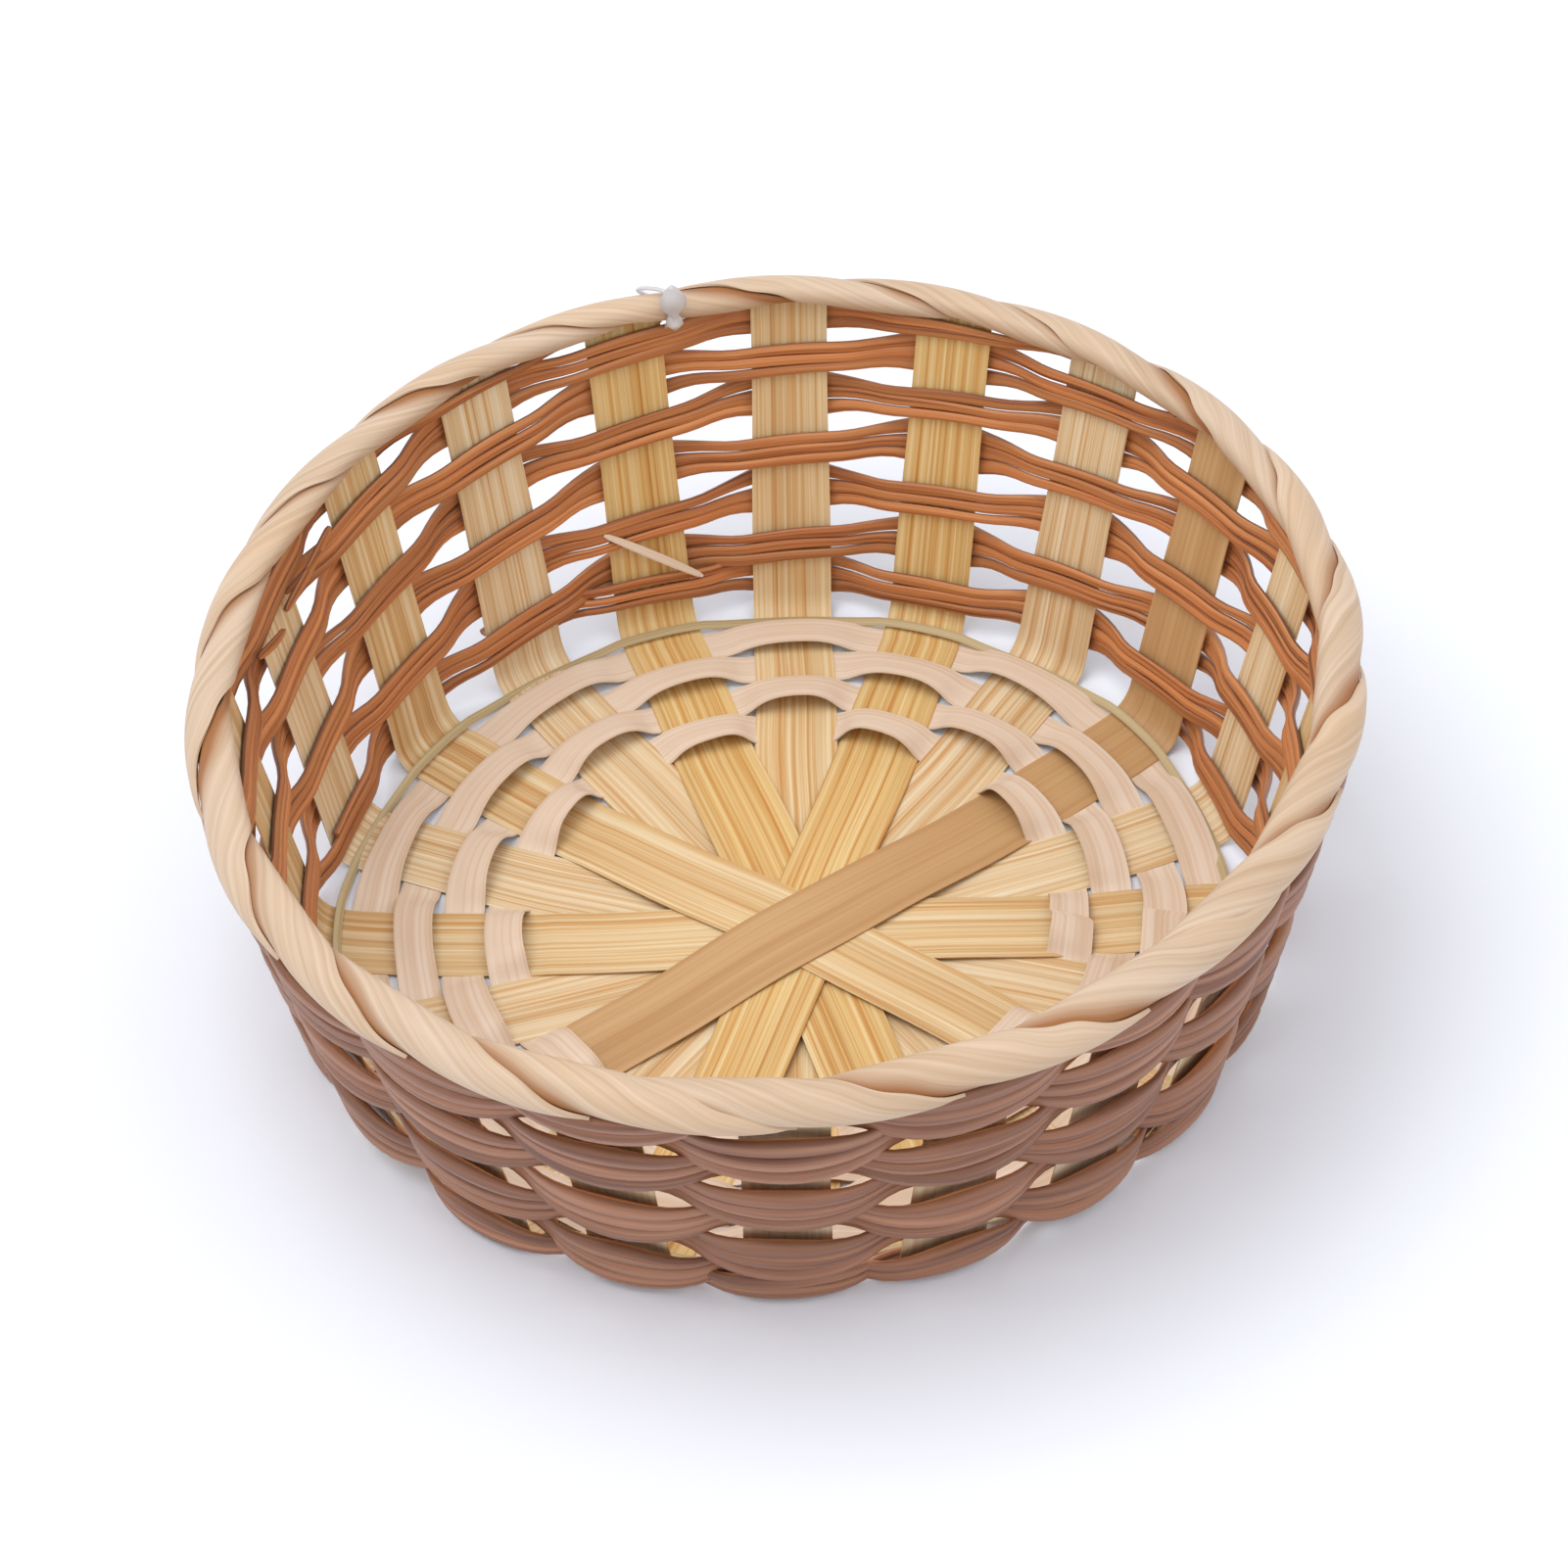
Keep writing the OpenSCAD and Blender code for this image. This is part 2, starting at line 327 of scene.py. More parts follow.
def strip_height(strip, distance):
    """Height of a strip's middle. The pile falls along a straight line with a rounded top: one
    minus a hyperbola's height. The upper star keeps one step over the lower one until they part."""
    upper = 1 - strip % 2
    cross = STRIP_W / 2 / math.sin(STRIP_ANGLE / 2)
    near = 1 - smooth_step((distance - cross + PARTING_FROM) / PARTING_LENGTH)
    top = PILE_ROUNDING
    fall = (np.hypot(distance / (PILE_REACH * cross), top) - top) / (math.hypot(1, top) - top)
    pile = np.clip(1 - fall, 0, 1)
    return STRIP_Z + upper * PILE_STEP * near + (pile_place(strip) - upper) * PILE_STEP * pile


def stake_angle(strip, end):
    """Angle round the foot where an end of a strip bends up: end is 0 behind and 1 ahead. The weave
    pulls the stakes a few degrees aside: by a cosine of the way round, and more at the front."""
    way = strip_way(strip)
    spot = STAR_MIDDLE + reach_to(FOOT_R, FOOT_SHIFT, way)[end] * way - FOOT_SHIFT
    straight = math.atan2(spot[1], spot[0])
    return straight + PULL_ROUND * math.cos(straight) - PULL_FRONT * (1 - math.sin(straight))


def stake_foot(strip, end):
    """Where a stake's foot lies: how far along its strip's straight line, and how far beside it."""
    spot = foot_ring(np.array([stake_angle(strip, end)]))[0, :2] - STAR_MIDDLE
    way = strip_way(strip)
    return spot @ way, spot @ left_of(way)


def strip_bow(strip, place):
    """How far a strip bows beside its line: the foot's distance times the squared share of the way."""
    behind, ahead = stake_foot(strip, 0), stake_foot(strip, 1)
    reach = np.where(place < 0, behind[0], ahead[0])
    beside = np.where(place < 0, behind[1], ahead[1])
    return beside * (place / reach) ** 2


print("stake angles:", [round(math.degrees(stake_angle(s, 1))) for s in range(STRIPS)])

# %% Strip surfaces
STAKE_TOP = 1.03
BEND_POINTS = 9
STRIP_SWAY = 0.25 * MM
STRIP_UNEVEN = 0.35 * MM
STRIP_CUP = -0.1 * MM
TOP_NARROWER = 0.06


def stake_half(strip, end, wall_rows=26):
    """One stake's centre line from its bend to its top, with the width vectors: a quadratic curve
    from the base's line to the wall's line, then straight up the wall."""
    reach, beside = stake_foot(strip, end)
    line = strip_way(strip)
    flat_way = unit(line + left_of(line) * 2 * beside / reach) * (1 if end else -1)
    way = np.append(flat_way, 0.0)
    theta = np.array([stake_angle(strip, end)])
    corner = foot_ring(theta)[0]
    climb = unit(border_ring(theta)[0] - corner)
    wall_length = np.linalg.norm(border_ring(theta)[0] - corner) * STAKE_TOP
    t = np.linspace(0, 1, BEND_POINTS)[:, None]
    start, finish = corner - way * BEND_REACH, corner + climb * BEND_REACH
    bend = (1 - t) ** 2 * start + 2 * t * (1 - t) * corner + t ** 2 * finish
    rise = np.linspace(BEND_REACH, wall_length, wall_rows)[1:, None]
    path = np.concatenate([bend, corner + climb * rise])
    side = np.append(left_of(flat_way), 0.0)
    round_way = np.array([-math.sin(theta[0]), math.cos(theta[0]), 0.0])
    turn = np.concatenate([t[:, 0], np.ones(wall_rows - 1)])[:, None]
    return path, unit(side * (1 - turn) + round_way * turn)


def stake_strip(strip, base_rows=110):
    """A whole strip: the far stake upside down, the base, then the near stake. It sways and its
    width wanders, and both ends grow narrower."""
    way = strip_way(strip)
    behind, ahead = stake_foot(strip, 0)[0], stake_foot(strip, 1)[0]
    place = np.linspace(behind + BEND_REACH, ahead - BEND_REACH, base_rows)[1:-1]
    sway = wander(place, STRIP_SWAY, 60 * MM, 100 + strip) + strip_bow(strip, place)
    flat = STAR_MIDDLE + place[:, None] * way + sway[:, None] * left_of(way)
    height = strip_height(strip, np.abs(place))
    base = np.concatenate([flat, height[:, None]], 1)
    run_way = unit(np.gradient(flat, axis=0))
    side = np.stack([-run_way[:, 1], run_way[:, 0], np.zeros(len(flat))], -1)
    far, far_side = stake_half(strip, 0)
    near, near_side = stake_half(strip, 1)
    path = np.concatenate([far[::-1], base, near])
    across = np.concatenate([-far_side[::-1], side, near_side])
    run = length_along(path)
    width = STRIP_W + wander(run, STRIP_UNEVEN, 90 * MM, 200 + strip)
    from_middle = np.abs(run - run.mean()) / run.mean()
    width = width * (1 - TOP_NARROWER * smooth_step((from_middle - 0.45) / 0.5))
    return ribbon(f"stake_strip_{strip + 1:02d}_weave", path, across, width, STRIP_T, cup=STRIP_CUP)


strips = [stake_strip(strip) for strip in range(STRIPS)]
print("strips:", len(strips))

# %% [markdown]
# ## Bands round the base
# Four wide, silky bands lock the strips. Each arches up over one strip and dives below the next, so
# its edge shows as a row of little arches. The height over a strip is one minus a high power of the
# distance from the strip's middle: nearly level above the strip, and steep in the gap.

# %% Base bands
BAND_W = 7.4 * MM
BAND_T = 0.4 * MM
BAND_INSET = 3.6 * MM
BAND_LIFT = 2.9 * MM
BAND_DROP = 0.5 * MM
BAND_FLATTER = 0.13
BAND_TILT = 0.30
BAND_CUP = 0.15 * MM
OVER_POWER = 3.2
UNDER_POWER = 9


def strip_crossings(radius):
    """Angles where the twenty half strips cross a circle round the origin, going round from the
    first, without jumps."""
    spots = []
    for half in range(STAKES):
        way = strip_way(half % STRIPS)
        reach = reach_to(radius, np.zeros(2), way)[0 if half >= STRIPS else 1]
        spot = STAR_MIDDLE + reach * way + strip_bow(half % STRIPS, reach) * left_of(way)
        spots.append(math.atan2(spot[1], spot[0]))
    return np.unwrap(np.array(spots))


def arch(place, lift, drop):
    """Height of a band at a place counted in half strips: over the even ones, where it is lift
    times one minus a power of the distance, and under the odd ones."""
    nearest = np.round(place)
    x = np.abs(place - nearest) * 2
    over = nearest % 2 == 0
    return np.where(over, lift * (1 - x ** OVER_POWER), -drop * (1 - x ** UNDER_POWER))


def base_band(band, samples=18):
    """A closed band: its places run round the half strips, and every other band starts one of them
    later. Bands further out are flatter, and each leans with its height."""
    low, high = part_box(f"base_band_{band + 1:02d}")
    radius = (high.x - low.x) / 2 - BAND_INSET
    place = np.arange(STAKES * samples) / samples
    angles = strip_crossings(radius)
    theta = np.interp(place, np.arange(STAKES + 1), np.append(angles, angles[0] + 2 * np.pi))
    uneven = 1 + wander(theta * radius, 0.25, 70 * MM, 300 + band)
    lift = BAND_LIFT * uneven * (1 - BAND_FLATTER * band)
    height = arch(place + band, lift, BAND_DROP)
    height = np.convolve(np.tile(height, 3), np.ones(3) / 3, "same")[len(height):2 * len(height)]
    r = radius + wander(theta * radius, 0.5 * MM, 80 * MM, 310 + band)
    path = np.stack([r * np.cos(theta), r * np.sin(theta), STRIP_Z + height], -1)
    tilt = BAND_TILT * np.clip(height / BAND_LIFT, 0, 1)
    across = unit(np.stack([-np.cos(theta), -np.sin(theta), tilt], -1))
    width = BAND_W + wander(theta * radius, 0.5 * MM, 60 * MM, 320 + band)
    return ribbon(f"base_band_{band + 1:02d}_weave", path, across, width, BAND_T, closed=True,
                  cup=BAND_CUP)


bands = [base_band(band) for band in range(4)]
print("bands:", len(bands))

# %% [markdown]
# ## Brown strands up the wall
# Six bundles start at equal steps round the foot and climb clockwise, so each goes round about once
# and the rows lean. A bundle is three splits side by side. Where it passes a stake it lies flat on
# one face of it, and between stakes it crosses to the other face: a cosine pushed through tanh. It
# fans out on its outside passes, and more so at the front.

# %% Wall strands
BUNDLES = 6
BUNDLE_STRANDS = 3
FIRST_START = 4.0
STAKE_CLIMB = 0.0450
CLIMB_FROM = 0.185
FOOT_SHARE = 0.060
LOWEST_SHARE = 0.048
START_SHARES = (0.060, 0.060, 0.060, 0.060, 0.118, 0.120)
START_ROUNDING = 0.02
LEVEL_STAKES = (1.0, 3.4, 3.4, 3.2, 1.4, -0.5)
LATE_LEVEL = 0.3
LATE_BUNDLES = 4
STARTS_INSIDE = (False, True, True, True, False, False)
START_STAGGER = 0.15
END_STAGGER = 0.8
END_TAPER = 1.5
END_WIDTH = 0.55
TOP_SHARE = 0.972
TOP_SPARE = 0.01
EDGE_ROUNDING = 0.01
SQUEEZE_FROM = 0.68
SQUEEZE = 0.86
STRAND_H = 2.75 * MM
STRAND_T = 1.2 * MM
OUTSIDE_T = 2.6 * MM
INSIDE_OFFSET = 1.0 * MM
OUTSIDE_OFFSET = 2.9 * MM
OUTSIDE_LONGER = 0.20
SHARP_INSIDE = 3.4
SHARP_OUTSIDE = 1.3
FAN = 0.73
FAN_FRONT = 0.13
FAN_OUTSIDE = 0.50
FAN_OUTSIDE_FRONT = 0.22
FAN_POWER = 2.0
FAN_POWER_FRONT = -1.25
FRONT_BLEND = 0.3
STAKE_STEP = 25 * MM
FLOOR_GAP = 0.6 * MM
SAG = 0.058
SAG_AT = math.radians(25.0)
SAG_TOP = 0.8
RAISE = 0.024
RAISE_AT = math.radians(115.0)
RAISE_RATE = 1.6

wall_angles = np.array([stake_angle(k % STRIPS, 0 if k >= STRIPS else 1) for k in range(STAKES)])
wall_angles = np.unwrap(wall_angles)


def stake_theta(place):
    """Angle at a place counted clockwise in stakes from the first one."""
    turn = 2 * np.pi
    angles = np.concatenate([wall_angles - 2 * turn, wall_angles - turn, wall_angles])
    return np.interp(-np.asarray(place), np.arange(-2 * STAKES, STAKES), angles)


def row_share(climbed, theta, lowest):
    """Height share of a bundle after a climb: level at the lowest share, even up the wall, and
    closer together under the border. The lower rows sag on one side and all rows rise on another,
    each by a cosine of the way round."""
    climbed = soft_floor(climbed, lowest, START_ROUNDING)
    share = np.where(climbed < SQUEEZE_FROM, climbed,
                     SQUEEZE_FROM + (climbed - SQUEEZE_FROM) * SQUEEZE)
    low = np.clip(1 - share / SAG_TOP, 0, 1)
    sag = SAG * np.clip(np.cos(theta - SAG_AT), 0, 1) * low
    beside = np.mod(theta - RAISE_AT + np.pi, 2 * np.pi) - np.pi
    rise = RAISE * np.clip(np.cos(RAISE_RATE * beside), 0, 1)
    return np.maximum(share - sag + rise, LOWEST_SHARE)


def weave_side(place):
    """1 inside a stake and -1 outside: a cosine pushed through tanh. It is lowered first, so the
    outside passes are longer, and it is sharper on the inside."""
    wave = np.cos(np.pi * place) - OUTSIDE_LONGER
    sharp = np.where(wave > 0, SHARP_INSIDE, SHARP_OUTSIDE)
    return np.tanh(sharp * wave) / np.tanh(sharp * (1 + OUTSIDE_LONGER * np.sign(-wave)))


def strand_places(bundle, strand, samples):
    """Where a split runs, as places counted in stakes, and the place where its bundle starts. Its
    first place is moved to a stake that it passes on the side where it starts. The last splits of
    the first bundles start late, and the first splits run furthest under the border."""
    start = FIRST_START + bundle * STAKES / BUNDLES
    late = strand == BUNDLE_STRANDS - 1 and bundle < LATE_BUNDLES
    level = LATE_LEVEL if late else LEVEL_STAKES[bundle]
    first = start - (CLIMB_FROM - FOOT_SHARE) / STAKE_CLIMB - level
    lead = bundle if STARTS_INSIDE[bundle] else bundle + 1
    first = 2 * round((first + lead) / 2) - lead - START_STAGGER * strand
    climb_last = SQUEEZE_FROM - CLIMB_FROM + (TOP_SHARE + TOP_SPARE - SQUEEZE_FROM) / SQUEEZE
    last = start + climb_last / STAKE_CLIMB + END_STAGGER * (BUNDLE_STRANDS - 1 - strand)
    return start, np.arange(math.ceil(first * samples), math.floor(last * samples)) / samples


def bundle_fan(theta, outside, loose):
    """How far the splits of a bundle spread: 1 is side by side. outside is 0 on the inside of a
    stake and 1 outside it, loose is the unevenness, and all shares change towards the front."""
    front = smooth_step((FRONT_BLEND / 2 - np.sin(theta)) / FRONT_BLEND)
    spread = FAN_OUTSIDE + FAN_OUTSIDE_FRONT * front + loose
    return FAN + FAN_FRONT * front + spread * outside ** (FAN_POWER + FAN_POWER_FRONT * front)


def wall_strand(bundle, strand, samples=12):
    """One split of a bundle, from the foot to the border. It drifts beside the bundle's middle by
    its place in the fan, and stays above the floor and under the border by soft limits."""
    start, place = strand_places(bundle, strand, samples)
    theta = stake_theta(place)
    seed = 400 + bundle * 10 + strand
    share = row_share(CLIMB_FROM + (place - start) * STAKE_CLIMB, theta, START_SHARES[bundle])
    side = weave_side(place + bundle)
    offset = np.where(side > 0, side * INSIDE_OFFSET, side * OUTSIDE_OFFSET)
    run = place * STAKE_STEP
    outside = (0.5 - 0.5 * np.cos(np.pi * (place + bundle))) ** 2
    fan = bundle_fan(theta, outside, wander(run, 0.16, 50 * MM, seed + 7))
    low, high = foot_ring(theta), border_ring(theta)
    lean = unit(high - low)[:, 2]
    half_bundle = BUNDLE_STRANDS / 2 * STRAND_H * fan * lean + OUTSIDE_T / 2 * outside + FLOOR_GAP
    share = soft_floor(share, (half_bundle - STRIP_Z) / (high[:, 2] - STRIP_Z), EDGE_ROUNDING)
    drift = (strand - (BUNDLE_STRANDS - 1) / 2) * STRAND_H * fan
    drift = drift + wander(run, 0.22 * MM, 70 * MM, seed) * (1 + 1.5 * outside)
    below_top = TOP_SHARE - share - drift / length_along(wall_point(theta[:2], np.array([0, 1])))[-1]
    share = TOP_SHARE - soft_floor(below_top, 0.0, EDGE_ROUNDING)
    inward = wall_inward(theta)
    path = wall_point(theta, share) + inward * offset[:, None]
    across = unit(np.cross(inward, np.gradient(path, axis=0)))
    height = STRAND_H * 0.98 * fan + wander(run, 0.25 * MM, 50 * MM, seed + 3)
    ends = smooth_step((place - place[0]) / END_TAPER) * smooth_step((place[-1] - place) / END_TAPER)
    height = height * (END_WIDTH + (1 - END_WIDTH) * ends)
    thickness = STRAND_T + (OUTSIDE_T - STRAND_T) * outside ** 2
    return ribbon(f"wall_bundle_{bundle + 1}_strand_{strand + 1}_weave", path, across, height,
                  thickness, round_points=14, squareness=2.6)


strands = [[wall_strand(b, s) for s in range(BUNDLE_STRANDS)] for b in range(BUNDLES)]
print("strands:", sum(len(bundle) for bundle in strands))

# %% [markdown]
# ## Foot strand
# A single narrow split with some green left in its skin lies in the bend, inside one stake and
# outside the next. It hides the change from base to wall.

# %% Foot strand
SPLIT_W = 1.6 * MM
SPLIT_T = 0.5 * MM
SPLIT_INSET = 3.2 * MM
SPLIT_LIFT = 0.7 * MM
SPLIT_WAVE = 0.65 * MM


def foot_strand(samples=12):
    """A closed loop in the bend, over one stake and under the next by the strands' own wave."""
    place = np.arange(STAKES * samples) / samples
    theta = stake_theta(place)
    side = weave_side(place)
    r = FOOT_R - SPLIT_INSET + wander(theta * FOOT_R, 0.3 * MM, 90 * MM, 501)
    path = np.stack([r * np.cos(theta) + FOOT_SHIFT[0], r * np.sin(theta) + FOOT_SHIFT[1],
                     STRIP_Z + SPLIT_LIFT + SPLIT_WAVE * side], -1)
    ahead = np.roll(path, -1, 0) - np.roll(path, 1, 0)
    lean = np.stack([-0.5 * np.cos(theta), -0.5 * np.sin(theta), np.full_like(theta, 0.85)], -1)
    across = unit(np.cross(lean, ahead))
    return ribbon("foot_strand_weave", path, across, SPLIT_W, SPLIT_T, closed=True)


foot = foot_strand()
print("foot strand faces:", len(foot.data.polygons))

# %% [markdown]
# ## Loose ends
# Hand weaving leaves a few ends free. A pale sliver of band leans across a stake at the back, and
# dark split ends stick out below the border on the left.

# %% Loose ends


def loose_end(name, start, finish, bulge, width, thickness):
    """A pointed sliver between two places on the wall, each an angle in degrees, a share of the
    height and a distance inward in millimetres. A sine bows it off the wall by bulge millimetres
    and narrows its ends."""
    t = np.linspace(0, 1, 24)
    theta = np.radians(start[0] + (finish[0] - start[0]) * t)
    share = start[1] + (finish[1] - start[1]) * t
    wave = np.sin(np.pi * t)
    off_wall = (start[2] + (finish[2] - start[2]) * t + bulge * wave) * MM
    path = wall_point(theta, share) + wall_inward(theta) * off_wall[:, None]
    across = unit(np.cross(wall_inward(theta), np.gradient(path, axis=0)))
    return ribbon(name, path, across, width * (0.3 + 0.7 * wave ** 0.4), thickness)


sliver = loose_end("loose_sliver", (109.5, 0.360, 1.4), (97.5, 0.165, 3.0), 0.8, 1.7 * MM, 0.4 * MM)
split_ends = [
    loose_end("split_end_1", (158.5, 0.850, 2.0), (147.5, 0.925, 3.2), 0.8, 2.2 * MM, 0.8 * MM),
    loose_end("split_end_2", (157.0, 0.880, 1.6), (150.5, 0.900, 3.8), 0.6, 1.4 * MM, 0.7 * MM),
    loose_end("split_end_3", (167.0, 0.870, 1.8), (161.0, 0.835, 3.0), 0.6, 1.8 * MM, 0.7 * MM),
]
print("loose ends:", 1 + len(split_ends))

# %% [markdown]
# ## The rolled border
# Each stake's end is rolled over a hoop: it comes up outside, passes over the top and tucks in
# behind. Its section is an arc of the border. One edge lies on top of its neighbour and the other
# runs beneath the next, like shingles, so the radius falls by a thickness and a half across it.

# %% Border
TURN_T = 0.6 * MM
TURN_SWELL = 1.2 * MM
TURN_INSET = 0.55 * MM
TURN_SINK = 1.5
TURN_THINNER = 0.6
TURN_GRAIN = 10 * MM
TURN_RATE = 11.5
TURN_COVER = math.radians(238.0)
TURN_LOW = math.radians(-34.0)
TURN_HIGH = math.radians(196.0)
TURN_LOBE = math.radians(32.0)
SECTION_TILT = math.radians(25.0)
SECTION_LONG = 0.98
SECTION_FLAT = 0.66
SECTION_OUT = 0.45 * MM
SECTION_UP = 1.58 * MM


def border_place(theta, around, radius):
    """Point of the border: around is 0 towards the axis and a quarter turn on top. The section is
    an ellipse whose outer side hangs lower: it is flattened, then turned by SECTION_TILT."""
    centre = border_ring(theta)
    outward = np.stack([np.cos(theta), np.sin(theta), np.zeros_like(theta)], -1)
    up = np.array([0.0, 0.0, 1.0])
    out = -SECTION_LONG * radius * np.cos(around)
    high = SECTION_FLAT * radius * np.sin(around)
    turned_out = math.cos(SECTION_TILT) * out + math.sin(SECTION_TILT) * high + SECTION_OUT
    turned_high = math.cos(SECTION_TILT) * high - math.sin(SECTION_TILT) * out + SECTION_UP
    return centre + turned_out[..., None] * outward + turned_high[..., None] * up


def lobe(edge, low, cover):
    """How far a strip's end reaches past an edge: half a sine over the strip's own width."""
    return TURN_LOBE * (np.sin(np.pi * np.clip((edge - low) / cover, 0, 1)) - 0.5)


def border_turn(turn, rows=90, columns=26):
    """One rolled strip: its middle goes round the hoop TURN_RATE times as fast as round the rim.
    Its section swells between its edges by a sine, and sinks by TURN_SINK thicknesses and thins
    towards the edge that the next strip covers."""
    seed = 600 + turn
    rng = np.random.default_rng(seed)
    from_around = TURN_HIGH + TURN_COVER * 0.46
    to_around = TURN_LOW - TURN_COVER * (0.40 + rng.uniform(-0.05, 0.05))
    middle = np.linspace(from_around, to_around, rows)
    start = stake_theta(np.array([float(turn)]))[0] + rng.uniform(-0.03, 0.03)
    theta = start - (from_around - middle) / TURN_RATE
    cover = TURN_COVER * (1 + wander(middle, 0.07, 2.5, seed))
    low_edge = middle - cover / 2
    low = np.maximum(low_edge, TURN_LOW - lobe(TURN_LOW, low_edge, cover))
    high = np.minimum(low_edge + cover, TURN_HIGH + lobe(TURN_HIGH, low_edge, cover))
    high = np.maximum(high, low + 0.01)
    share = np.linspace(0, 1, columns)[None, :]
    around = low[:, None] + (high - low)[:, None] * share
    own = np.clip((around - low_edge[:, None]) / cover[:, None], 0, 1)
    swell = TURN_SWELL * np.sin(np.pi * np.clip(own / 0.8, 0, 1)) ** 0.8
    swell = swell * (0.75 + 0.25 * np.sin(np.clip(around, 0, np.pi)))
    outer = BORDER_R - TURN_INSET + swell - TURN_T * TURN_SINK * own
    inner = outer - TURN_T * (1 - TURN_THINNER * own)
    theta_grid = np.broadcast_to(theta[:, None], around.shape)
    skin_out = border_place(theta_grid, around, outer)
    skin_in = border_place(theta_grid, around, inner)
    points = np.concatenate([skin_out, skin_in[:, ::-1]], 1)
    run = length_along(skin_out[:, columns // 2])
    place = np.concatenate([own, own[:, ::-1]], 1)
    following = np.roll(place, -1, 1)
    return skin(f"border_turn_{turn + 1:02d}_weave", points, run,
                (place * TURN_GRAIN, following * TURN_GRAIN))


turns = [border_turn(turn) for turn in range(STAKES)]


def border_hoop(samples=160, sides=14):
    """The hoop inside: the border's section, a little smaller than the hoop, carried round."""
    theta = -2 * np.pi * np.arange(samples) / samples
    around = -2 * np.pi * np.arange(sides) / sides
    theta_grid, around_grid = np.meshgrid(theta, around, indexing="ij")
    points = border_place(theta_grid, around_grid, np.full_like(theta_grid, HOOP_R - 1.0 * MM))
    across = np.arange(sides + 1) / sides * 2 * np.pi * HOOP_R
    return skin("border_hoop_core", points, length_along(border_ring(theta), True),
                (across[:-1], across[1:]), closed=True)


hoop = border_hoop()
print("border turns:", len(turns))

# %% [markdown]
# ## Tag fastener
# A clear moulded loop is left on the rim from the shop. It is one piece: a thin thread round the
# border and a faceted bead that closes it.

# %% Fastener
FASTENER_THETA = math.radians(98.5)
THREAD_R = 0.4 * MM
THREAD_SLANT = 0.05
THREAD_TURN = 0.6
BEAD_FLAT = 0.62
BEAD_PROFILE = np.array([[-4.4, 0.2], [-3.8, 1.0], [-1.6, 2.5], [0.2, 2.3], [1.9, 0.8],
                         [2.7, 1.4], [3.8, 1.5], [4.6, 0.7], [4.9, 0.3]]) * MM


def thread(thread_points=64, sides=8):
    """The thread: a small circle carried once round the border at a slant."""
    around = 2 * np.pi * np.arange(thread_points) / thread_points
    slant = np.sin(around - THREAD_TURN)
    theta = FASTENER_THETA + THREAD_SLANT * slant ** 2 * np.where(slant > 0, 1, 0.3)
    path = border_place(theta, around, np.full_like(around, BORDER_R + 1.0 * MM))
    ahead = unit(np.roll(path, -1, 0) - np.roll(path, 1, 0))
    out = unit(path - border_ring(theta))
    side = unit(np.cross(out, ahead))
    turn = -2 * np.pi * np.arange(sides) / sides
    ring = np.cos(turn)[None, :, None] * side[:, None, :] \
        + np.sin(turn)[None, :, None] * out[:, None, :]
    points = path[:, None, :] + THREAD_R * ring
    across = np.arange(sides + 1) / sides * 2.5 * MM
    return skin("tag_fastener_loop", points, length_along(path, True),
                (across[:-1], across[1:]), closed=True)


loop = thread()


def bead(sides=6):
    """The bead: six-sided rings along a straight line that leans in and down over the border's
    inner side. BEAD_PROFILE gives each ring's place and radius: it swells, and a small knob ends it."""
    theta = np.array([FASTENER_THETA])
    outward = np.array([math.cos(FASTENER_THETA), math.sin(FASTENER_THETA), 0.0])
    middle = border_place(theta, np.radians([14.0]), np.array([BORDER_R + 1.9 * MM]))[0]
    lean = unit(-0.15 * outward - np.array([0.0, 0.0, 1.0]))
    path = middle + BEAD_PROFILE[:, :1] * lean
    round_way = np.array([-outward[1], outward[0], 0.0])
    out = np.cross(lean, round_way)
    turn = 2 * np.pi * np.arange(sides) / sides
    ring = np.cos(turn)[:, None] * round_way - BEAD_FLAT * np.sin(turn)[:, None] * out
    points = path[:, None, :] + BEAD_PROFILE[:, 1][:, None, None] * ring
    across = np.arange(sides + 1) / sides * 10 * MM
    return skin("tag_fastener_bead", points, length_along(path), (across[:-1], across[1:]))


knob = bead()
print("fastener faces:", len(loop.data.polygons) + len(knob.data.polygons))

# %% [markdown]
# ## Finishes
# All the wood is bamboo, so every wooden finish has the same parts: fine fibre lines that run along
# the piece, slower patches of tone, and a bump from the same fibres. The lines are noise stretched
# along the grain map, with a thousand or more cycles for a metre across and about ten for a metre
# along. One helper adds the nodes, and one function makes the undyed finishes.

# %% Material helper
WOOD_SPECULAR = 0.35
DYED_SPECULAR = 0.4


def colour(red, green, blue):
    """A colour given as 0 to 255 values on a screen, turned into linear light."""
    values = np.array([red, green, blue]) / 255.0
    linear = np.where(values <= 0.04045, values / 12.92, ((values + 0.055) / 1.055) ** 2.4)
    return (*linear.tolist(), 1.0)


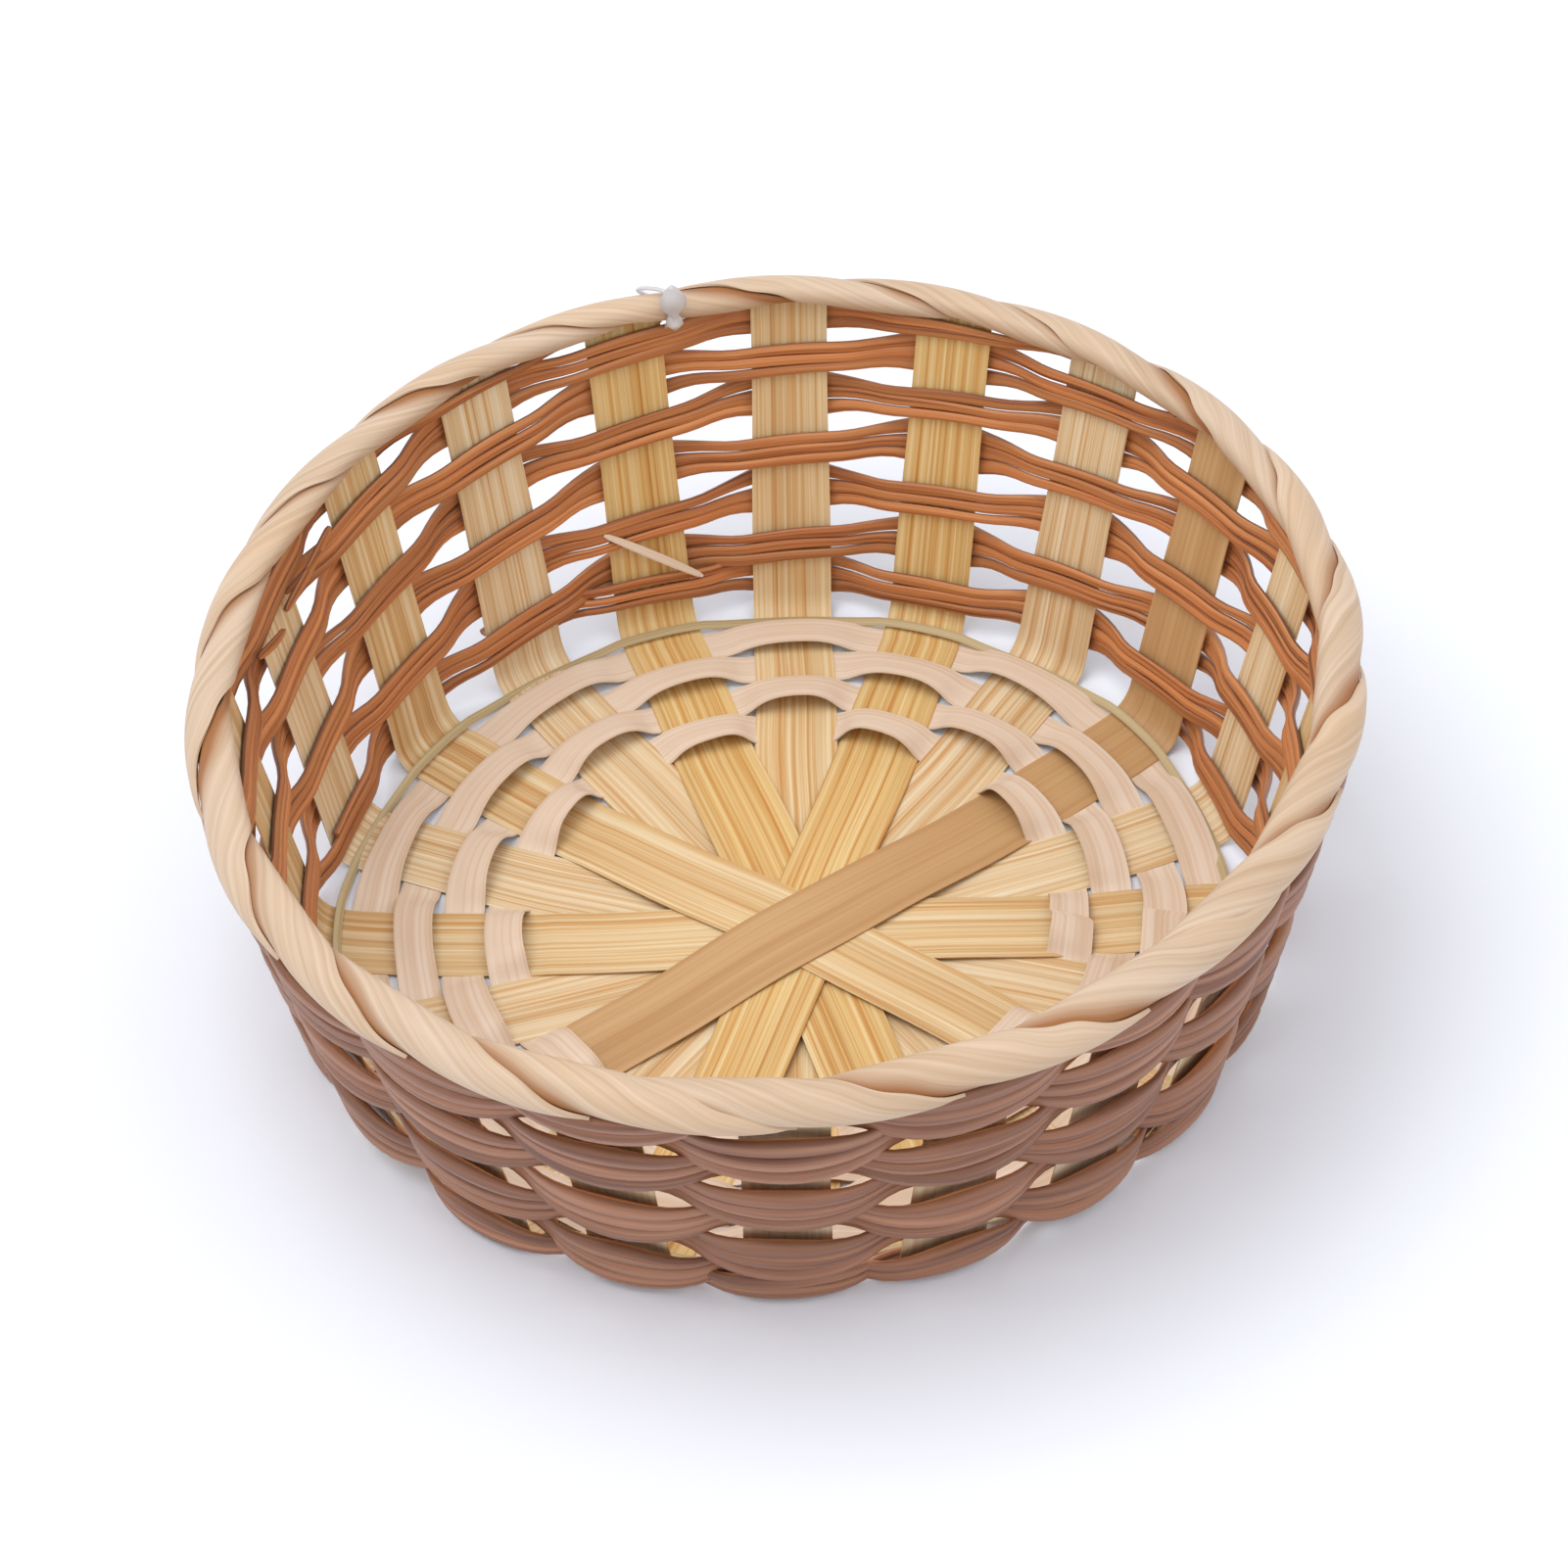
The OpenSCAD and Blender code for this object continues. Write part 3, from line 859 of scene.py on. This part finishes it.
class Nodes:
    """A short way to add nodes and links to one material."""

    def __init__(self, name):
        self.material = bpy.data.materials.new(name)
        self.material.use_nodes = True
        self.tree = self.material.node_tree
        self.shader = self.tree.nodes["Principled BSDF"]

    def add(self, kind, **settings):
        """A node with its properties set."""
        node = self.tree.nodes.new(kind)
        for key, value in settings.items():
            setattr(node, key, value)
        return node

    def link(self, source, target):
        """A link from one node's output to another's input."""
        self.tree.links.new(source, target)

    def lines(self, along, across, detail=3.0, offset=0.0):
        """Noise read at the grain map, stretched so that its cells are long lines."""
        grain = self.add("ShaderNodeUVMap", uv_map="grain")
        mapping = self.add("ShaderNodeMapping")
        mapping.inputs["Scale"].default_value = (along, across, 1.0)
        mapping.inputs["Location"].default_value = (offset, offset * 1.7, offset * 0.3)
        noise = self.add("ShaderNodeTexNoise")
        noise.inputs["Scale"].default_value = 1.0
        noise.inputs["Detail"].default_value = detail
        noise.inputs["Roughness"].default_value = 0.6
        self.link(grain.outputs["UV"], mapping.inputs["Vector"])
        self.link(mapping.outputs["Vector"], noise.inputs["Vector"])
        return noise.outputs["Fac"]

    def place_across(self):
        """The place across the piece in metres, from the grain map."""
        grain = self.add("ShaderNodeUVMap", uv_map="grain")
        split = self.add("ShaderNodeSeparateXYZ")
        self.link(grain.outputs["UV"], split.inputs["Vector"])
        return split.outputs["Y"]

    def second_face(self, amount):
        """amount on the face that the grain map numbers from one metre, and 0 on the other."""
        across = self.place_across()
        face = self.add("ShaderNodeMath", operation="GREATER_THAN")
        face.inputs[1].default_value = BACK_FACE / 2
        self.link(across, face.inputs[0])
        scaled = self.add("ShaderNodeMath", operation="MULTIPLY")
        scaled.inputs[1].default_value = amount
        self.link(face.outputs["Value"], scaled.inputs[0])
        return scaled.outputs["Value"]

    def ramp(self, factor, stops):
        """A colour ramp through (place, colour) stops."""
        node = self.add("ShaderNodeValToRGB")
        ramp = node.color_ramp
        while len(ramp.elements) < len(stops):
            ramp.elements.new(0.5)
        for element, (place, tone) in zip(ramp.elements, stops):
            element.position = place
            element.color = tone
        self.link(factor, node.inputs["Fac"])
        return node.outputs["Color"]

    def mix(self, factor, first, second, blend="MIX"):
        """Mix of two colours; each of the three is a socket or a plain value."""
        node = self.add("ShaderNodeMix", data_type="RGBA", blend_type=blend)
        for socket, value in ((node.inputs[0], factor), (node.inputs[6], first), (node.inputs[7], second)):
            if isinstance(value, bpy.types.NodeSocket):
                self.link(value, socket)
            else:
                socket.default_value = value
        return node.outputs[2]

    def bump(self, height, depth):
        """Bump from a height between 0 and 1, depth in metres."""
        node = self.add("ShaderNodeBump")
        node.inputs["Strength"].default_value = 0.8
        node.inputs["Distance"].default_value = depth
        self.link(height, node.inputs["Height"])
        self.link(node.outputs["Normal"], self.shader.inputs["Normal"])

    def finish(self, tone, roughness, specular, fibres, depth):
        """The whole material: its colour and its bump are linked, and its shine is set."""
        self.link(tone, self.shader.inputs["Base Color"])
        self.shader.inputs["Roughness"].default_value = roughness
        self.shader.inputs["Specular IOR Level"].default_value = specular
        self.bump(fibres, depth)
        return self.material


def bamboo(name, light, middle, dark, seed, across=2600.0, contrast=0.22, roughness=0.5,
           depth=0.12 * MM, shade=0.87, threads=0.0):
    """Split bamboo: fine lines between light, middle and dark tones, and slower stripes over them.
    The second face, which the grain map numbers from one metre, is greyer."""
    nodes = Nodes(name)
    fine = nodes.lines(5.0, across, 3.0, seed * 1.3)
    base = nodes.ramp(fine, [(0.5 - contrast, dark), (0.5, middle), (0.5 + contrast, light)])
    broad = nodes.lines(9.0, across * 0.16, 2.0, seed * 2.1 + 5)
    stripe = nodes.ramp(broad, [(0.38, (0.86, 0.79, 0.70, 1)), (0.55, (1, 1, 1, 1))])
    toned = nodes.mix(0.75, base, stripe, "MULTIPLY")
    if threads:
        thread_lines = nodes.lines(6.0, across * 0.75, 1.0, seed * 1.9 + 9)
        thin = nodes.ramp(thread_lines, [(0.49, (1, 1, 1, 1)), (0.54, (0.86, 0.62, 0.34, 1)),
                                         (0.59, (1, 1, 1, 1))])
        toned = nodes.mix(threads, toned, thin, "MULTIPLY")
    toned = nodes.mix(1.0, toned, (shade, shade, shade, 1.0), "MULTIPLY")
    toned = nodes.mix(nodes.second_face(0.55), toned, colour(196, 184, 166))
    return nodes.finish(toned, roughness, WOOD_SPECULAR, fine, depth)


print("colour of pale bamboo:", [round(c, 2) for c in colour(230, 200, 150)])

# %% [markdown]
# ## Strip finishes
# Split strips show their fibres: pale wood with fine orange lines. Each was cut from another cane,
# so some are yellower, some paler, and the topmost one shows its smooth, evenly tan skin.

# %% Strips' materials
STRIP_TONES = {
    "straw": (colour(246, 228, 192), colour(234, 205, 156), colour(212, 160, 96)),
    "yellow": (colour(244, 220, 168), colour(232, 196, 130), colour(208, 150, 78)),
    "pale": (colour(248, 234, 206), colour(238, 214, 174), colour(218, 172, 116)),
    "skin": (colour(220, 184, 138), colour(208, 166, 116), colour(194, 148, 98)),
}
STRIP_KINDS = ["straw", "pale", "skin", "pale", "yellow", "straw", "yellow", "pale", "straw", "pale"]

for index, piece in enumerate(strips):
    kind = STRIP_KINDS[index]
    smooth = kind == "skin"
    finish = bamboo(f"bamboo_{kind}_{index + 1}", *STRIP_TONES[kind], seed=index + 1,
                    across=900.0 if smooth else 1200.0, contrast=0.3 if smooth else 0.19,
                    threads=0.0 if smooth else 0.7,
                    roughness=0.42 if smooth else 0.55, depth=(0.04 if smooth else 0.14) * MM)
    piece.data.materials.append(finish)
print("strip finishes:", len(STRIP_TONES))

# %% Bands' and foot's materials
band_finish = bamboo("bamboo_band", colour(248, 234, 218), colour(240, 218, 196), colour(224, 194, 164),
                     seed=31, across=1500.0, contrast=0.3, roughness=0.42, depth=0.05 * MM)
for piece in (*bands, sliver):
    piece.data.materials.append(band_finish)
foot_finish = bamboo("bamboo_green", colour(218, 200, 160), colour(200, 180, 136), colour(164, 142, 100),
                     seed=37, across=2200.0, roughness=0.45, depth=0.08 * MM)
foot.data.materials.append(foot_finish)
print("finished in plain bamboo:", len(bands) + 2, "more pieces")

# %% [markdown]
# ## Brown strands' finish
# The dyed splits have two faces. The face towards the inside of the basket is the fibrous pith
# side, warm brown with dark grooves. The other is the skin, greyer and smoother. The grain map
# numbers the second face from one metre up, so a comparison tells them apart.

# %% Strands' material
PITH_TINT = (1.14, 1.06, 0.95, 1.0)
SKIN_TINT = (1.16, 1.06, 0.98, 1.0)
DYE_PALEST = 0.84
DYE_RANGE = 0.26


def brown_strand(name, seed):
    """Warm fibrous brown on the inner face, smooth greyish brown on the outer one."""
    nodes = Nodes(name)
    fine = nodes.lines(16.0, 1000.0, 4.0, seed * 1.9)
    inner = nodes.ramp(fine, [(0.30, colour(98, 54, 30)), (0.42, colour(168, 108, 66)),
                              (0.66, colour(196, 142, 96))])
    outer = nodes.ramp(fine, [(0.30, colour(100, 68, 54)), (0.5, colour(138, 100, 80)),
                              (0.70, colour(158, 122, 100))])
    inner = nodes.mix(1.0, inner, PITH_TINT, "MULTIPLY")
    outer = nodes.mix(1.0, outer, SKIN_TINT, "MULTIPLY")
    both = nodes.mix(nodes.second_face(1.0), inner, outer)
    slow = nodes.lines(14.0, 260.0, 2.0, seed * 0.7 + 3)
    patch = nodes.ramp(slow, [(0.35, (0.78, 0.72, 0.68, 1)), (0.6, (1.08, 1.04, 1.0, 1))])
    dye = DYE_PALEST + DYE_RANGE * ((seed * 7) % 10) / 9
    toned = nodes.mix(0.8, both, patch, "MULTIPLY")
    toned = nodes.mix(1.0, toned, (dye, dye * 0.98, dye * 0.96, 1.0), "MULTIPLY")
    return nodes.finish(toned, 0.42, DYED_SPECULAR, fine, 0.16 * MM)


for b, bundle in enumerate(strands):
    for s, piece in enumerate(bundle):
        piece.data.materials.append(brown_strand(f"brown_{b + 1}_{s + 1}", b * 3 + s + 1))
for piece in split_ends:
    piece.data.materials.append(strands[0][2].data.materials[0])
print("brown finishes:", BUNDLES * BUNDLE_STRANDS)

# %% [markdown]
# ## Border finish
# The border is the palest bamboo, nearly cream, with painted shade in brown where each strip dives
# under the next: the crease's shadow is painted into its colour. The painted shade reads the place
# across the strip from the grain map.

# %% Border's material
# Where the painted crease shade begins and where it is full, in metres across the strip's grain map.
CREASE_SHADE_FROM = 6.6 * MM
CREASE_SHADE_TO = 8.7 * MM


def border_finish(name, seed):
    """Cream bamboo with fine lines, and painted crease shade in brown towards the edge under the next
    strip.
    """
    nodes = Nodes(name)
    fine = nodes.lines(12.0, 1500.0, 4.0, seed * 1.1)
    base = nodes.ramp(fine, [(0.25, colour(178, 150, 122)), (0.45, colour(194, 170, 146)),
                             (0.70, colour(208, 187, 166))])
    slow = nodes.lines(16.0, 160.0, 2.0, seed * 0.9 + 2)
    warm = 0.5 + 0.5 * math.sin(seed * 2.4)
    patch = nodes.ramp(slow, [(0.35, (0.97, 0.93 - 0.05 * warm, 0.88 - 0.12 * warm, 1)),
                              (0.65, (1.0, 1.0, 1.0, 1))])
    toned = nodes.mix(0.8, base, patch, "MULTIPLY")
    # Painted shade: brown mixed in towards the covered edge, standing in for the crease's shadow.
    across = nodes.place_across()
    edge = nodes.add("ShaderNodeMapRange")
    edge.inputs["From Min"].default_value = CREASE_SHADE_FROM
    edge.inputs["From Max"].default_value = CREASE_SHADE_TO
    nodes.link(across, edge.inputs["Value"])
    crease_shaded = nodes.mix(edge.outputs["Result"], toned, colour(150, 98, 56))
    return nodes.finish(crease_shaded, 0.45, WOOD_SPECULAR, fine, 0.06 * MM)


for index, piece in enumerate(turns):
    piece.data.materials.append(border_finish(f"border_{index + 1}", index + 1))
hoop.data.materials.append(bamboo("hoop_wood", colour(200, 160, 110), colour(176, 130, 82),
                                  colour(130, 86, 50), seed=53))
print("border finishes:", len(turns))

# %% [markdown]
# ## Clear plastic
# The fastener is moulded nylon, which is milky and not quite clear. Nearly half of the light
# passes through it, and a slight bump from noise on its own coordinates makes it uneven.

# %% Clear plastic
clear = Nodes("clear_nylon")
clear.shader.inputs["Base Color"].default_value = colour(232, 230, 232)
clear.shader.inputs["Roughness"].default_value = 0.18
clear.shader.inputs["IOR"].default_value = 1.5
clear.shader.inputs["Transmission Weight"].default_value = 0.45
cloud = clear.add("ShaderNodeTexNoise")
cloud.inputs["Scale"].default_value = 900.0
place = clear.add("ShaderNodeTexCoord")
clear.link(place.outputs["Object"], cloud.inputs["Vector"])
clear.bump(cloud.outputs["Fac"], 0.05 * MM)
for piece in (loop, knob):
    piece.data.materials.append(clear.material)
print("plastic pieces:", len((loop, knob)))

# %% [markdown]
# ## Joining the frame
# Every piece rides on the basket's one body and stands for its node.

# %% Ride and replace
joined = []


def join(piece, node):
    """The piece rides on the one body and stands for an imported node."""
    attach(piece, "root")
    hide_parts(node)
    joined.append(node)


for index, piece in enumerate(strips):
    join(piece, f"stake_strip_{index + 1:02d}")
for index, piece in enumerate(bands):
    join(piece, f"base_band_{index + 1:02d}")
join(sliver, "base_band_04")
for piece in split_ends:
    join(piece, "wall_bundle_1_strand_3")
join(foot, "foot_strand")
for b, bundle in enumerate(strands):
    for s, piece in enumerate(bundle):
        join(piece, f"wall_bundle_{b + 1}_strand_{s + 1}")
for index, piece in enumerate(turns):
    join(piece, f"border_turn_{index + 1:02d}")
join(hoop, "border_hoop")
for piece in (loop, knob):
    join(piece, "tag_fastener")
print("pieces:", len(joined), "for", len(set(joined)), "nodes")

# %% [markdown]
# ## Floor and light
# A white floor and a bright, even sky make the soft studio look. One large lamp high on the left
# gives the strips a gentle direction, and a weak one on the right fills the shade.

# %% Floor
FLOOR = 3.0
floor_mesh = bpy.data.meshes.new("floor")
floor_corners = [(-FLOOR, -FLOOR, 0), (FLOOR, -FLOOR, 0), (FLOOR, FLOOR, 0), (-FLOOR, FLOOR, 0)]
floor_mesh.from_pydata(floor_corners, [], [(0, 1, 2, 3)])
floor = bpy.data.objects.new("floor", floor_mesh)
bpy.context.scene.collection.objects.link(floor)
floor_paint = Nodes("floor_paint")
floor_paint.shader.inputs["Base Color"].default_value = colour(232, 236, 246)
floor_paint.shader.inputs["Roughness"].default_value = 0.9
floor.data.materials.append(floor_paint.material)
print("floor is", 2 * FLOOR, "metres wide")

# %% Lights
world = bpy.data.worlds.new("sky")
world.use_nodes = True
world.node_tree.nodes["Background"].inputs["Color"].default_value = (1.0, 1.0, 1.0, 1.0)
world.node_tree.nodes["Background"].inputs["Strength"].default_value = 1.02
bpy.context.scene.world = world


def lamp(name, place, size, power, tint=(1.0, 1.0, 1.0)):
    """A square soft light that faces the basket."""
    light = bpy.data.lights.new(name, "AREA")
    light.size = size
    light.energy = power
    light.color = tint
    holder = bpy.data.objects.new(name, light)
    holder.location = place
    back = unit(np.array(place, float) - np.array([0, 0, 0.03]))
    side = unit(np.cross([0.0, 0.0, 1.0], back))
    turn = np.stack([side, np.cross(back, side), back], -1)
    holder.rotation_euler = Matrix(turn.tolist()).to_euler()
    bpy.context.scene.collection.objects.link(holder)


lamp("key", (-0.40, -0.05, 1.25), 0.9, 7.0, (1.0, 0.99, 0.97))
lamp("fill", (0.9, -0.6, 0.9), 0.8, 1.2)
bpy.context.scene.view_settings.view_transform = "Standard"
print("lamps:", len(bpy.data.lights))
